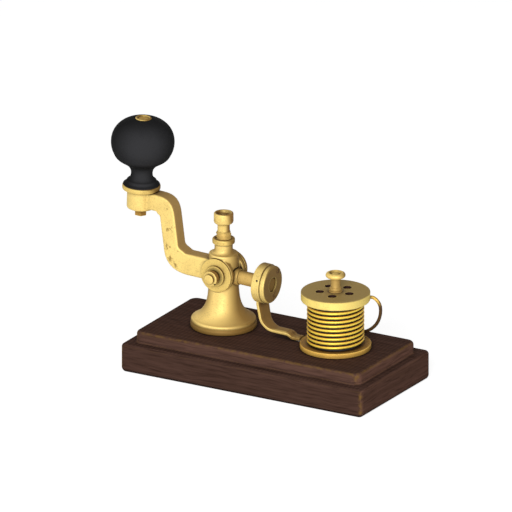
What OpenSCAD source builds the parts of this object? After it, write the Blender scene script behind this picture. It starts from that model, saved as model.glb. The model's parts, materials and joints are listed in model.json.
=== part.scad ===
// Telegraph key on a stepped wooden base: a turned pillar carries a bent rocking
// lever, whose curved strap meets a contact beside an upright coil.
// X runs along the base, Y across it and Z up, in millimetres. The origin is
// the middle of the base's underside.

/* [Base] */
// Length of the lower board
base_l = 152; // [140:1:190]
// Width of the lower board
base_w = 76; // [64:1:110]
// Thickness of the lower board
plinth_h = 16.5; // [13:0.5:24]
// Thickness of the upper board
board_h = 6.5; // [5:0.5:10]
// How far the upper board stands in from the lower one
step_in = 5.5; // [3:0.5:9]
// Radius of the lower board's upright corners
corner_r = 3; // [3:0.5:7]
// Radius of the upper board's upright corners
top_corner_r = 5; // [3:0.5:9]
// Radius worked on the boards' upper edges
edge_r = 2; // [0.6:0.2:2.4]
// Radius worked on the lower board's bottom edge
foot_edge_r = 2.8; // [1:0.2:3]
// Radius of the small cove at the foot of the upper board
cove_r = 1.2; // [0.4:0.2:1.8]
// Diameter of the screws that hold the boards together
board_screw_d = 4; // [3:0.5:5]
// How far those screws stand in from the lower board's sides
board_screw_in = 14; // [10:1:18]

/* [Pillar] */
// Where the pillar stands along the base
pillar_x = -32.5; // [-36:0.5:-28]
// Radius of the ring at the pillar's foot
pillar_foot_r = 18.2; // [15:0.1:22]
// Height of that ring
pillar_foot_h = 2.8; // [1.5:0.1:5]
// Radius of the bead above the ring
bead_r = 1.3; // [0.8:0.1:2]
// Radius of the pillar's barrel
barrel_r = 8.14; // [7.9:0.02:9]
// Length over which the flare dies into the barrel
flare_len = 4.85; // [3:0.05:6]
// Height of the barrel's shoulder above the board
shoulder_h = 42.4; // [41.4:0.1:50]
// Radius of the neck above the shoulder
neck_r = 5; // [4.9:0.05:5.6]
// Height of the neck above the shoulder
neck_h = 5.5; // [5:0.1:8]
// Diameter of the bolt up into the pillar
pillar_bolt_d = 6; // [4:0.5:8]

/* [Pivot] */
// Height of the pivot above the board
pivot_h = 31.5; // [30:0.1:32.3]
// Diameter of the pivot axle
axle_d = 5.4; // [4.4:0.1:6]
// Radius of the head's side flanges and of the bearing plates
flange_r = 9.5; // [8.6:0.1:11]
// Distance from the middle to a flange's outer face
flange_y = 7.4; // [7:0.1:9]
// Thickness of the front bearing plate
plate_t = 1.5; // [1:0.1:3]
// Thickness of the rear bearing plate
rear_plate_t = 2.5; // [1:0.1:3.5]
// Radius of the boss on a bearing plate
plate_boss_r = 5.7; // [4.5:0.1:7]
// Height of that boss
plate_boss_t = 1.3; // [0.6:0.1:3]
// Radius of the collar between a plate and its nut
axle_collar_r = 3.4; // [3.3:0.1:4.1]
// Length of that collar
axle_collar_l = 2.2; // [1:0.1:4]
// Radius of the round nut on each end of the axle
axle_nut_r = 4.2; // [4:0.1:6]
// Length of that nut
axle_nut_l = 2.7; // [1.5:0.1:4]
// How far the axle stands out of its nuts
axle_end = 1.4; // [0.5:0.1:3]

/* [Lever] */
// Thickness of the lever arm, across the base
arm_t = 9; // [7:0.1:9.4]
// Depth of the arm where it enters the head
arm_root_h = 12.3; // [10:0.1:12.6]
// Depth of the arm along its riser and top
arm_h = 9.6; // [7:0.1:10.4]
// Radius on the arm's long edges
arm_edge_r = 0.9; // [0.3:0.1:1.5]
// Height of the arm's middle over the pivot, at the head
arm_rise = 0.4; // [0:0.1:0.6]
// Distance from the pivot to where the arm turns up
arm_run = 21; // [18:0.1:26]
// Middle radius of the lower bend
bend_low_r = 10.5; // [9:0.5:14]
// Middle radius of the upper bend
bend_top_r = 7.5; // [7:0.5:11]
// How much deeper the arm grows in its bends
bend_swell = 1.7; // [0:0.1:2.4]
// Height of the arm's top stretch over the pivot
arm_top_z = 31.8; // [28:0.1:40]
// How far the riser leans away from the pillar, in degrees
riser_lean = 9.5; // [0:0.5:14]
// Distance from the pivot to the knob's axis
knob_x = 53.1; // [50:0.1:60]
// Radius of the boss under the knob
boss_r = 7.75; // [6:0.05:9]
// Height of that boss
boss_h = 10.9; // [10.4:0.1:14]
// Tilt of the lever at rest, knob end up, in degrees
rest_tilt = 1.9; // [0.5:0.1:2.1]
// How far the knob end can be pressed from rest, in degrees
press_angle = 3; // [1:0.1:3.2]

/* [Knob] */
// Greatest radius of the knob
knob_r = 17.42; // [14:0.02:21]
// Height of the knob
knob_h = 38.7; // [34:0.1:46]
// Radius of the knob's foot
knob_foot_r = 10; // [8:0.1:12]
// Radius of the knob's neck
knob_neck_r = 6.1; // [4.8:0.1:7.4]
// Height of the knob's dome over its widest place
dome_h = 14; // [10:0.1:17]
// Power that fills out the knob's round, 1 for a true oval
knob_power = 0.945; // [0.85:0.005:1]
// Radius of the brass ferrule under the knob
ferrule_r = 10.5; // [9:0.1:13]
// Height of that ferrule
ferrule_h = 2.9; // [1.5:0.1:5]
// Diameter of the bolt through the knob
knob_bolt_d = 4.4; // [3:0.1:5.2]
// Outer radius of the ring let into the knob's top
knob_ring_r = 4.55; // [4.2:0.05:6]

/* [Balance] */
// Radius of the rod on the lever's other side
rod_r = 3.85; // [3:0.05:3.95]
// Depth of the rod's middle under the pivot
rod_drop = 1.4; // [0:0.1:1.6]
// Radius of the balance disc
disc_r = 11; // [9.6:0.1:13]
// Thickness of the balance disc
disc_t = 8; // [6:0.1:10]
// Distance from the pivot to the disc's near face
disc_x = 23.2; // [20:0.1:26]
// Diameter of the set screw in the disc
set_screw_d = 1.2; // [1:0.1:2.4]

/* [Strap] */
// Width of the contact strap at the disc
strap_w = 11.2; // [8:0.1:12]
// Width of the strap along its foot
strap_foot_w = 7.2; // [5:0.1:8]
// Width of the strap's tip
strap_tip_w = 5.6; // [4:0.1:6]
// Thickness of the strap
strap_t = 1.9; // [1.2:0.1:2.2]
// How far the strap leans out below the disc, in degrees
strap_lean = 12.8; // [8:0.2:16]
// Outer radius of the strap's bend
strap_bend_r = 9; // [6:0.5:10]
// Distance from the pivot to the strap's end
strap_end_x = 50.3; // [49:0.1:50.8]
// Drop of the joggle before the tip
joggle_h = 1.7; // [0.8:0.1:2.5]
// Diameter of the contact stud under the tip
contact_d = 4.4; // [3:0.1:5]

/* [Coil] */
// Where the coil stands along the base
coil_x = 38; // [37.6:0.2:50]
// Radius of the coil's foot
coil_foot_r = 19.5; // [18:0.1:19.8]
// Height of the coil's foot
coil_foot_h = 2.7; // [2:0.1:5]
// Outer radius of the bobbin
bobbin_r = 13.8; // [13:0.1:16]
// Wall of the bobbin
bobbin_wall = 2.15; // [1.5:0.05:3]
// Diameter of the wound wire
wire_d = 1.9; // [1.4:0.1:2]
// Rise of the winding in one turn
wire_pitch = 2.48; // [2.42:0.02:2.6]
// Number of turns
turns = 9; // [5:1:9]
// Radius of the flange on top of the coil
cap_r = 19; // [17.6:0.1:21]
// Thickness of that flange
cap_t = 5; // [4:0.1:7]
// Number of screws in the flange
cap_screws = 5; // [3:1:6]
// Radius of the circle that the screws stand on
cap_screw_pcd = 8.7; // [8.2:0.1:9]
// Diameter of the screws' counterbores
cap_bore_d = 4.9; // [4:0.1:5]
// Diameter of the bolt up into the coil's core
coil_bolt_d = 6; // [4:0.5:8]

/* [Terminal] */
// Radius of the terminal's flared head
terminal_r = 5.6; // [4.4:0.1:7]
// Diameter of the terminal's shank
terminal_d = 4.9; // [3.6:0.1:5.2]
// Height of the terminal over the flange
terminal_h = 10.9; // [9:0.1:15]

/* [Tension screw] */
// Diameter of the screw's thread
screw_d = 8.56; // [7.6:0.02:8.6]
// Length of thread that stands above the neck
screw_thread_h = 6.8; // [6:0.1:10]
// Diameter of the plain shank over the thread
screw_shank_d = 6.8; // [5:0.1:7.4]
// Length of that shank
screw_shank_h = 4.6; // [4:0.1:8]
// Radius of the screw's head
screw_head_r = 5.4; // [4.4:0.1:7]
// Height of the screw's head
screw_head_h = 6.2; // [4:0.1:9]
// Radius of the lock ring
lock_ring_r = 6.2; // [5.4:0.1:8]
// Height of the lock ring
lock_ring_h = 3; // [2:0.1:4]
// Diameter of the spring's wire
spring_wire_d = 0.7; // [0.4:0.05:0.75]

/* [Hidden] */
$fn = 96;

// Clearances: parts that are fixed together, parts that turn or slide, and
// parts that only pass each other.
fit = 0.03;
run = 0.05;
pass = 0.5;

// Colours of the finishes
brass = "#C9A24B";
old_brass = "#9C7A38";
iron = "#55524E";
steel = "#8C8A86";
ebonite = "#2B2A2A";
walnut = "#4A2C24";
copper = "#E0B040";

base_h = plinth_h + board_h;
pivot_z = base_h + pivot_h;
cut = 0.5;

// Points of an arc about (cx, cz), from angle a0 to a1 in n steps
function arc(cx, cz, r, a0, a1, n = 6) =
    [for (i = [0 : n]) let (a = a0 + (a1 - a0) * i / n) [cx + r * cos(a), cz + r * sin(a)]];

// Points of an ellipse's arc, with half axes a and b
function oval(cx, cz, a, b, a0, a1, n = 16) =
    [for (i = [0 : n]) let (t = a0 + (a1 - a0) * i / n) [cx + a * cos(t), cz + b * sin(t)]];

// The same about the Z axis, with its shoulders filled out where the power is under 1
function full_oval(cz, a, b, power, a0, a1, n) =
    [for (p = oval(0, 0, 1, 1, a0, a1, n))
        [a * pow(p[0], power), cz + b * sign(p[1]) * pow(abs(p[1]), power)]];

// Angle at which such an arc of half width a is r wide
function full_angle(r, a, power) = acos(pow(r / a, 1 / power));

function unit(v) = v / norm(v);

// A disc's outline from its axis, with rounded outer corners, and a bore if inner is above 0
function disc_outline(inner, outer, z0, z1, r0, r1) = concat(
    [[inner, z0]],
    arc(outer - r0, z0 + r0, r0, -90, 0, 4),
    arc(outer - r1, z1 - r1, r1, 0, 90, 4),
    [[inner, z1]]
);

module turned(outline) {
    rotate_extrude() polygon(outline);
}

module ring(inner, outer, z0, z1, r0 = 0.3, r1 = 0.3) {
    turned(disc_outline(inner, outer, z0, z1, r0, r1));
}

module rod(r, z0, z1) {
    translate([0, 0, z0]) cylinder(r = r, h = z1 - z0);
}

module at_pillar() {
    translate([pillar_x, 0, base_h]) children();
}

module at_pivot() {
    translate([pillar_x, 0, pivot_z]) children();
}

module at_coil() {
    translate([coil_x, 0, base_h]) children();
}

// The lever is drawn level about the pivot and tilted to its rest
module at_lever() {
    at_pivot() rotate([0, rest_tilt, 0]) children();
}

// Local Z outwards along -Y for the front and +Y for the rear
module on_side(side) {
    rotate([side * 90, 0, 0]) children();
}

// A tube swept along a path, its rings square to it; ref is never along the path
function tangents(p) =
    [for (i = [0 : len(p) - 1]) unit(p[min(i + 1, len(p) - 1)] - p[max(i - 1, 0)])];

function tube_points(p, r, ref, sides) = let (t = tangents(p)) [
    for (i = [0 : len(p) - 1])
        let (u = unit(cross(ref, t[i])), v = cross(t[i], u))
        for (k = [0 : sides - 1]) p[i] + r * (cos(360 * k / sides) * u + sin(360 * k / sides) * v)
];

// Faces of a skin over rings of equal count, closed at both ends
function skin_faces(rings, n) = concat(
    [for (k = [1 : n - 2]) [0, k, k + 1]],
    [for (i = [0 : rings - 2], k = [0 : n - 1])
        each let (a = i * n + k, b = i * n + (k + 1) % n) [[a, a + n, b + n], [a, b + n, b]]],
    [for (k = [1 : n - 2]) let (e = (rings - 1) * n) [e, e + k + 1, e + k]]
);

module tube(p, d, ref, sides) {
    polyhedron(points = tube_points(p, d / 2, ref, sides), faces = skin_faces(len(p), sides));
}

// Boards

// Half of a board's side outline, from its bottom edge up
function plinth_side(half) = concat(
    arc(half - foot_edge_r, foot_edge_r, foot_edge_r, -90, 0),
    arc(half - edge_r, plinth_h - edge_r, edge_r, 0, 90)
);

function top_board_side(half) = concat(
    arc(half + cove_r, plinth_h + cove_r, cove_r, 270, 180),
    arc(half - edge_r, base_h - edge_r, edge_r, 0, 90)
);

function mirrored(half_side) = concat(
    half_side,
    [for (i = [len(half_side) - 1 : -1 : 0]) [-half_side[i][0], half_side[i][1]]]
);

// A board whose worked edges run round its upright corners. The outlines are those of a corner,
// seen from the corner's axis, and of the board's two ways across.
module board(l, w, r, z0, z1, corner, side_x, side_y) {
    for (x = [-1, 1], y = [-1, 1])
        translate([x * (l / 2 - r), y * (w / 2 - r), 0])
            turned(concat([[0, z0]], corner, [[0, z1]]));
    rotate([90, 0, 0]) linear_extrude(w - 2 * r, center = true) polygon(mirrored(side_x));
    rotate([90, 0, 90]) linear_extrude(l - 2 * r, center = true) polygon(mirrored(side_y));
}

top_l = base_l - 2 * step_in;
top_w = base_w - 2 * step_in;

// Holes and recesses under the base
bolt_head_h = 3;
bolt_head_r = 5.2;
washer_t = 1.2;
washer_r = 7;
recess_d = 6.5;
strip_w = 6;
strip_t = 1.2;
contact_x = pillar_x + strap_end_x - 2.6;
contact_nut_r = 3.6;
contact_nut_h = 2;
board_screw_r = board_screw_d / 2;
board_screw_head_r = board_screw_d * 0.95;
board_screw_l = plinth_h + board_h * 0.6;

module board_screw_places() {
    for (x = [-1, 1], y = [-1, 1])
        translate([x * (base_l / 2 - board_screw_in), y * (base_w / 2 - board_screw_in), 0])
            children();
}

module contact_place() {
    translate([contact_x, 0, 0]) children();
}

module plinth() {
    color(walnut) difference() {
        board(base_l, base_w, corner_r, 0, plinth_h,
            plinth_side(corner_r), plinth_side(base_l / 2), plinth_side(base_w / 2));
        translate([pillar_x, 0, 0]) {
            rod(washer_r + pass, -cut, recess_d);
            rod(pillar_bolt_d / 2 + fit, 0, base_h + cut);
        }
        translate([coil_x, 0, 0]) {
            rod(washer_r + pass, -cut, recess_d);
            rod(coil_bolt_d / 2 + fit, 0, base_h + cut);
        }
        translate([contact_x, -strip_w / 2 - fit, -cut])
            cube([coil_x - contact_x, strip_w + 2 * fit, recess_d + cut]);
        contact_place() {
            rod(contact_nut_r + pass, -cut, recess_d);
            rod(contact_shank_r + fit, 0, base_h + cut);
        }
        board_screw_places() {
            rod(board_screw_r + fit, -cut, plinth_h + cut);
            turned([[0, -cut], [board_screw_head_r + fit, -cut], [board_screw_head_r + fit, head_sink],
                [board_screw_r + fit, head_sink + board_screw_head_r - board_screw_r],
                [0, head_sink + board_screw_head_r - board_screw_r]]);
        }
    }
}

head_sink = 0.6;

module top_board() {
    color(walnut) difference() {
        board(top_l, top_w, top_corner_r, plinth_h, base_h,
            top_board_side(top_corner_r), top_board_side(top_l / 2), top_board_side(top_w / 2));
        translate([pillar_x, 0, 0]) rod(pillar_bolt_d / 2 + fit, 0, base_h + cut);
        translate([coil_x, 0, 0]) rod(coil_bolt_d / 2 + fit, 0, base_h + cut);
        contact_place() rod(contact_shank_r + fit, 0, base_h + cut);
        board_screw_places() rod(board_screw_r + fit, 0, board_screw_l + fit);
    }
}

module board_screws() {
    color(steel) board_screw_places() difference() {
        turned([[0, head_sink], [board_screw_head_r, head_sink],
            [board_screw_r, head_sink + board_screw_head_r - board_screw_r],
            [board_screw_r, board_screw_l - board_screw_r], [0.3, board_screw_l], [0, board_screw_l]]);
        translate([-board_screw_head_r, -0.4, 0])
            cube([2 * board_screw_head_r, 0.8, head_sink + 0.9]);
    }
}

// Strap end and the contact stud under it: the tip lies on the stud at rest
contact_shank_r = 1.3;
contact_head_h = 0.6;

module rest_contact() {
    color(steel) contact_place() {
        ring(0, contact_d / 2, base_h, base_h + contact_head_h, 0.05, 0.25);
        rod(contact_shank_r, recess_d - strip_t - contact_nut_h - 0.6, base_h + 0.1);
    }
}

module contact_nut() {
    color(old_brass) contact_place() difference() {
        translate([0, 0, recess_d - strip_t - contact_nut_h])
            cylinder(r = contact_nut_r, h = contact_nut_h, $fn = 6);
        rod(contact_shank_r + fit, 0, recess_d);
    }
}

module link_strip() {
    color(old_brass) difference() {
        union() {
            translate([contact_x, -strip_w / 2, recess_d - strip_t])
                cube([coil_x - contact_x, strip_w, strip_t]);
            contact_place() rod(strip_w / 2, recess_d - strip_t, recess_d);
            translate([coil_x, 0, 0]) rod(washer_r, recess_d - strip_t, recess_d);
        }
        contact_place() rod(contact_shank_r + fit, 0, recess_d + cut);
        translate([coil_x, 0, 0]) rod(coil_bolt_d / 2 + fit, 0, recess_d + cut);
    }
}

// A bolt from under the base, its washer against the recess
module under_bolt(d, top, washer_z) {
    head_top = washer_z - washer_t;
    difference() {
        union() {
            turned(disc_outline(0, bolt_head_r, head_top - bolt_head_h, head_top, 0.5, 0.05));
            rod(d / 2, head_top - 0.1, top);
        }
        translate([-bolt_head_r, -0.6, 0])
            cube([2 * bolt_head_r, 1.2, head_top - bolt_head_h + 1.4]);
    }
}

module under_washer(d, washer_z) {
    ring(d / 2 + fit, washer_r, washer_z - washer_t, washer_z, 0.1, 0.1);
}

// Pillar

pillar_bolt_up = 16;
bead_top = pillar_foot_h + 2 * bead_r;
flare_r = pillar_foot_r - 1.6;
flare_top = pivot_h;
shoulder_r = 2.4;
neck_top = shoulder_h + neck_h;

function flare(z) = barrel_r + (flare_r - barrel_r) * exp(-(z - bead_top) / flare_len);

pillar_outline = concat(
    [[0, 0], [pillar_foot_r - 0.4, 0], [pillar_foot_r, 0.4], [pillar_foot_r, pillar_foot_h - 0.5],
        [pillar_foot_r - 0.5, pillar_foot_h], [flare_r, pillar_foot_h]],
    arc(flare_r, pillar_foot_h + bead_r, bead_r, -80, 90, 8),
    [for (i = [1 : 18]) let (z = bead_top + (flare_top - bead_top) * pow(i / 18, 1.6)) [flare(z), z]],
    [[barrel_r, flare_top + 0.5]],
    arc(barrel_r - 0.6, shoulder_h - 0.6, 0.6, 0, 80, 4),
    arc(neck_r + shoulder_r, shoulder_h + shoulder_r, shoulder_r, 265, 180, 6),
    [[neck_r, neck_top - 0.3], [neck_r - 0.3, neck_top], [0, neck_top]]
);

// Head: a cavity across it for the hub, and windows for the arm and the rod
axle_hub_r = 5.6;
cavity_r = axle_hub_r + pass;
window_y = 5;
window_gap = 0.3;
stop_gap = 0.08;
arm_bottom = arm_rise - arm_root_h / 2;
arm_top = arm_rise + arm_root_h / 2;
pressed_tilt = press_angle - rest_tilt;
window_floor = arm_bottom * cos(pressed_tilt) - barrel_r * sin(pressed_tilt) - stop_gap;
window_roof = arm_top * cos(rest_tilt) + barrel_r * sin(rest_tilt) + window_gap;
arm_root_x = 3.6;
spring_bore_r = screw_d / 2 + run;

module pillar() {
    color(brass) difference() {
        union() {
            at_pillar() turned(pillar_outline);
            at_pivot() for (side = [-1, 1]) on_side(side)
                ring(0, flange_r, window_y, flange_y, 0.1, 0.1);
        }
        // Faces that the bearing plates lie on
        at_pivot() for (side = [-1, 1]) on_side(side)
            rod(flange_r + 0.1, flange_y, barrel_r + 1.5);
        at_pivot() {
            rotate([90, 0, 0]) cylinder(r = cavity_r, h = 2 * flange_y + 1, center = true);
            translate([-barrel_r - 2, -window_y, window_floor])
                cube([barrel_r + 2 + arm_root_x + pass, 2 * window_y, window_roof - window_floor]);
            translate([0, 0, -rod_drop]) rotate([0, 90, 0]) cylinder(r = rod_r + pass, h = barrel_r + 2);
        }
        at_pillar() {
            rod(spring_bore_r, pivot_h, neck_top + cut);
            rod(pillar_bolt_d / 2 + fit, -cut, pillar_bolt_up + 1);
        }
    }
}

module pillar_bolt() {
    color(steel) translate([pillar_x, 0, 0]) under_bolt(pillar_bolt_d, base_h + pillar_bolt_up, recess_d);
}

module pillar_washer() {
    color(steel) translate([pillar_x, 0, 0]) under_washer(pillar_bolt_d, recess_d);
}

// Bearing plates: a spigot in the head's cavity, a shadow gap, the disc and its boss
axle_r = axle_d / 2;
spigot_t = 1;
shadow_t = 0.4;
function face_y(side) = flange_y + (side > 0 ? plate_t : rear_plate_t);
function boss_y(side) = face_y(side) + plate_boss_t;
function collar_y(side) = boss_y(side) + 0.1;
function nut_y(side) = collar_y(side) + axle_collar_l;
function axle_y(side) = nut_y(side) + axle_nut_l + axle_end;

module bearing_plate(side) {
    color(brass) at_pivot() on_side(side) turned(concat(
        [[axle_r + run, flange_y - spigot_t], [cavity_r - run, flange_y - spigot_t],
            [cavity_r - run, flange_y], [flange_r - 0.6, flange_y], [flange_r - 0.6, flange_y + shadow_t]],
        arc(flange_r - 0.2, flange_y + shadow_t + 0.2, 0.2, -80, 0, 2),
        arc(flange_r - 0.4, face_y(side) - 0.4, 0.4, 0, 85, 4),
        [[plate_boss_r, face_y(side)]],
        arc(plate_boss_r - 0.3, boss_y(side) - 0.3, 0.3, 0, 90, 3),
        [[axle_r + run, boss_y(side)]]
    ));
}

module pivot_axle() {
    color(brass) at_lever() rotate([90, 0, 0])
        turned(disc_outline(0, axle_r, -axle_y(-1), axle_y(1), 0.4, 0.4));
}

module axle_spacers() {
    color(old_brass) at_lever() for (side = [-1, 1]) on_side(side)
        ring(axle_r + fit, 4.2, arm_t / 2, flange_y - spigot_t - 0.1, 0.1, 0.1);
}

module axle_collar(side) {
    color(old_brass) at_lever() on_side(side) 
        ring(axle_r + fit, axle_collar_r, collar_y(side), nut_y(side), 0.2, 0.2);
}

// The round nut has one notch in its rim for a pin spanner
module axle_nut(side) {
    color(brass) at_lever() on_side(side) difference() {
        ring(axle_r + fit, axle_nut_r, nut_y(side), nut_y(side) + axle_nut_l, 0.2, 0.5);
        rotate([0, 0, side * -40]) translate([axle_nut_r - 0.6, -0.5, nut_y(side) + 0.8])
            cube([1.2, 1, axle_nut_l]);
    }
}

// Spring gear in the pillar's bore
plunger_h = 1.3;
nose_h = 0.9;
nose_r = 1.4;
nose_x = 2;
plunger_gap = 0.12;
nose_z = pivot_h + arm_top * cos(rest_tilt) - (nose_x - nose_r) * sin(rest_tilt) + plunger_gap;
plunger_z = nose_z + nose_h;
seat_h = 0.9;
seat_z = neck_top - 2.9;
screw_z = seat_z + seat_h;
spring_z = plunger_z + plunger_h;
spring_turns = 3;
spring_len = seat_z - spring_z;

// The plunger's nose bears on the arm beyond the axle, so the spring holds the knob end up
module plunger() {
    color(steel) at_pillar() {
        ring(0, spring_bore_r - run, plunger_z, spring_z, 0.4, 0.1);
        translate([nose_x, 0, 0]) rod(nose_r, nose_z, plunger_z + 0.2);
    }
}

// A helix with flat-lying ends, drawn in the upright bore
spring_rings = 16;
spring_path = let (rise = spring_len - spring_wire_d - 0.02) [
    for (i = [0 : spring_turns * spring_rings])
        let (t = i / (spring_turns * spring_rings), a = 360 * spring_turns * t)
        [(spring_bore_r - 0.3 - spring_wire_d) * cos(a), (spring_bore_r - 0.3 - spring_wire_d) * sin(a),
            spring_z + spring_wire_d / 2 + 0.01 + rise * t]
];

module tension_spring() {
    color(steel) at_pillar() tube(spring_path, spring_wire_d, [0, 0, 1], 6);
}

module spring_seat() {
    color(steel) at_pillar() ring(0, spring_bore_r - run, seat_z, seat_z + seat_h, 0.1, 0.1);
}

screw_shank_z = neck_top + screw_thread_h;
screw_head_z = screw_shank_z + screw_shank_h;
screw_top = screw_head_z + screw_head_h;
screw_recess_r = screw_head_r - 1.35;

module tension_screw() {
    color(brass) at_pillar() turned(concat(
        [[0, screw_z], [screw_d / 2 - 0.4, screw_z], [screw_d / 2, screw_z + 0.4],
            [screw_d / 2, screw_shank_z - 0.3], [screw_d / 2 - 0.3, screw_shank_z],
            [screw_shank_d / 2, screw_shank_z], [screw_shank_d / 2, screw_head_z],
            [screw_head_r - 1, screw_head_z], [screw_head_r, screw_head_z + 1]],
        arc(screw_head_r - 0.5, screw_top - 0.5, 0.5, 0, 90, 4),
        [[screw_recess_r, screw_top], [screw_recess_r, screw_top - 1.6], [1.4, screw_top - 1.6],
            [1.2, screw_top - 1], [0, screw_top - 1]]
    ));
}

module lock_ring() {
    color(brass) at_pillar()
        ring(spring_bore_r, lock_ring_r, neck_top + 0.1, neck_top + lock_ring_h, 0.5, 0.8);
}

// Lever arm: rounded sections along its run, two bends, riser and top

arm_climb = 90 + riser_lean;
riser_len = (arm_top_z - arm_rise - (bend_low_r + bend_top_r) * (1 + cos(arm_climb))) / sin(arm_climb);
low_centre = [-arm_run, arm_rise + bend_low_r];
riser_foot = low_centre + bend_low_r * [-sin(arm_climb), cos(arm_climb)];
riser_head = riser_foot + riser_len * [cos(arm_climb), sin(arm_climb)];
top_centre = riser_head + bend_top_r * [-sin(arm_climb), cos(arm_climb)];

// Each station: middle (x, z), heading in degrees and depth of the section
arm_steps = 8;
function swell(i) = bend_swell * pow(sin(180 * i / arm_steps), 2);
arm_stations = concat(
    [[[arm_root_x, arm_rise], 180, arm_root_h], [[-arm_run * 0.6, arm_rise], 180, arm_root_h]],
    [for (i = [0 : arm_steps]) let (h = 180 - (180 - arm_climb) * i / arm_steps)
        [low_centre + bend_low_r * [-sin(h), cos(h)], h,
            arm_root_h + (arm_h - arm_root_h) * i / arm_steps + swell(i)]],
    [for (i = [0 : arm_steps]) let (h = arm_climb + (180 - arm_climb) * i / arm_steps)
        [top_centre - bend_top_r * [-sin(h), cos(h)], h, arm_h + swell(i)]],
    [[[-knob_x, arm_top_z], 180, arm_h]]
);

// A rounded section of depth h, across the arm and along its normal
function arm_section(h) = [
    for (q = [0 : 3], i = [0 : 2])
        let (a = 90 * q + 45 * i, sx = q == 0 || q == 3 ? 1 : -1, sz = q < 2 ? 1 : -1)
        [sx * (arm_t / 2 - arm_edge_r) + arm_edge_r * cos(a),
            sz * (h / 2 - arm_edge_r) + arm_edge_r * sin(a)]
];

arm_points = [
    for (s = arm_stations) for (p = arm_section(s[2]))
        [s[0][0] - p[1] * sin(s[1]), p[0], s[0][1] + p[1] * cos(s[1])]
];

boss_z1 = arm_top_z + arm_h / 2 + 0.05;
boss_z0 = boss_z1 - boss_h;
tenon_r = 2.4;
tenon_x = 3.2;

module lever_arm() {
    color(brass) at_lever() difference() {
        union() {
            polyhedron(points = arm_points, faces = skin_faces(len(arm_stations), 12));
            rotate([90, 0, 0]) cylinder(r = axle_hub_r, h = arm_t, center = true);
            translate([-knob_x, 0, 0]) ring(0, boss_r, boss_z0, boss_z1, 0.8, 0.3);
        }
        rotate([90, 0, 0]) cylinder(r = axle_r + fit, h = arm_t + 2, center = true);
        translate([tenon_x, 0, -rod_drop]) rotate([0, 90, 0]) cylinder(r = tenon_r + fit, h = 6);
        translate([-knob_x, 0, 0]) rod(knob_bolt_d / 2 + run, boss_z0 - 1, boss_z1 + 1);
    }
}

// Knob

ferrule_z1 = boss_z1 + ferrule_h;
knob_top = ferrule_z1 + knob_h;
knob_widest = knob_top - dome_h;
bulb_drop = 0.383 * knob_h;
knob_ring_h = 1.6;
knob_ring_z = knob_top - knob_ring_h + 0.05;
knob_bolt_head_r = knob_ring_r - 1.65;
neck_z = ferrule_z1 + 0.2 * knob_h;
step_z = ferrule_z1 + 0.06 * knob_h;
knob_step_r = (knob_neck_r + knob_foot_r) / 2 + 0.7;
bulb_low = -full_angle(knob_neck_r + 0.2, knob_r, knob_power);
knob_mouth = full_angle(knob_ring_r + fit, knob_r, knob_power);
knob_bore_r = knob_bolt_d / 2 + run;
knob_mouth_z = knob_widest + dome_h * pow(sin(knob_mouth), knob_power);

module at_knob() {
    at_lever() translate([-knob_x, 0, 0]) children();
}

knob_outline = concat(
    [[knob_bore_r, ferrule_z1], [knob_foot_r - 0.3, ferrule_z1], [knob_foot_r, ferrule_z1 + 0.3],
        [knob_foot_r, ferrule_z1 + 0.9]],
    arc(knob_foot_r + 0.3, step_z - 0.2, knob_foot_r + 0.3 - knob_step_r, 240, 180, 4),
    oval(knob_step_r + 0.1, neck_z, knob_step_r + 0.1 - knob_neck_r, neck_z - step_z - 0.2, 265, 180, 10),
    full_oval(knob_widest, knob_r, bulb_drop, knob_power, bulb_low, 0, 20),
    full_oval(knob_widest, knob_r, dome_h, knob_power, 4,
        full_angle(knob_ring_r + 0.4, knob_r, knob_power), 18),
    [[knob_ring_r + fit, knob_mouth_z], [knob_ring_r + fit, knob_ring_z], [knob_bore_r, knob_ring_z]]
);

module knob() {
    color(ebonite) at_knob() turned(knob_outline);
}

module knob_ferrule() {
    color(brass) at_knob() ring(knob_bore_r, ferrule_r, boss_z1, ferrule_z1, 0.9, 0.9);
}

module knob_ring() {
    color(brass) at_knob()
        ring(knob_bolt_head_r + fit, knob_ring_r, knob_ring_z, knob_ring_z + knob_ring_h, 0.1, 0.55);
}

module knob_bolt() {
    color(old_brass) at_knob() {
        rod(knob_bolt_d / 2, boss_z0 - knob_nut_h - 0.2, knob_ring_z + 0.1);
        ring(0, knob_bolt_head_r, knob_ring_z, knob_ring_z + knob_ring_h - 0.6, 0.05, 0.3);
    }
}

knob_nut_h = 0.91 * knob_bolt_d;
knob_nut_af = knob_bolt_d + 1.7;

module knob_nut() {
    color(old_brass) at_knob() difference() {
        translate([0, 0, boss_z0 - knob_nut_h])
            cylinder(d = knob_nut_af / cos(30), h = knob_nut_h, $fn = 6);
        rod(knob_bolt_d / 2 + fit, boss_z0 - knob_nut_h - 1, boss_z0 + 1);
    }
}

// Balance rod, collar and disc, all about the rod's axis

collar_gap = 0.4;
collar_x = barrel_r + 0.9;
collar_end = barrel_r + 2.6;
disc_face_r = disc_r - 0.7;
disc_recess_r = rod_r + 0.25;
disc_end = disc_x + disc_t;
rod_end = disc_end - 0.9;

// Local Z along the rod, away from the pillar, and local X downwards
module on_rod() {
    at_lever() translate([0, 0, -rod_drop]) rotate([0, 90, 0]) children();
}

module balance_rod() {
    color(brass) on_rod() {
        rod(tenon_r, tenon_x + 0.2, axle_hub_r + 0.5);
        turned(disc_outline(0, rod_r, axle_hub_r + 0.2, rod_end, 0.1, 0.3));
    }
}

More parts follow.
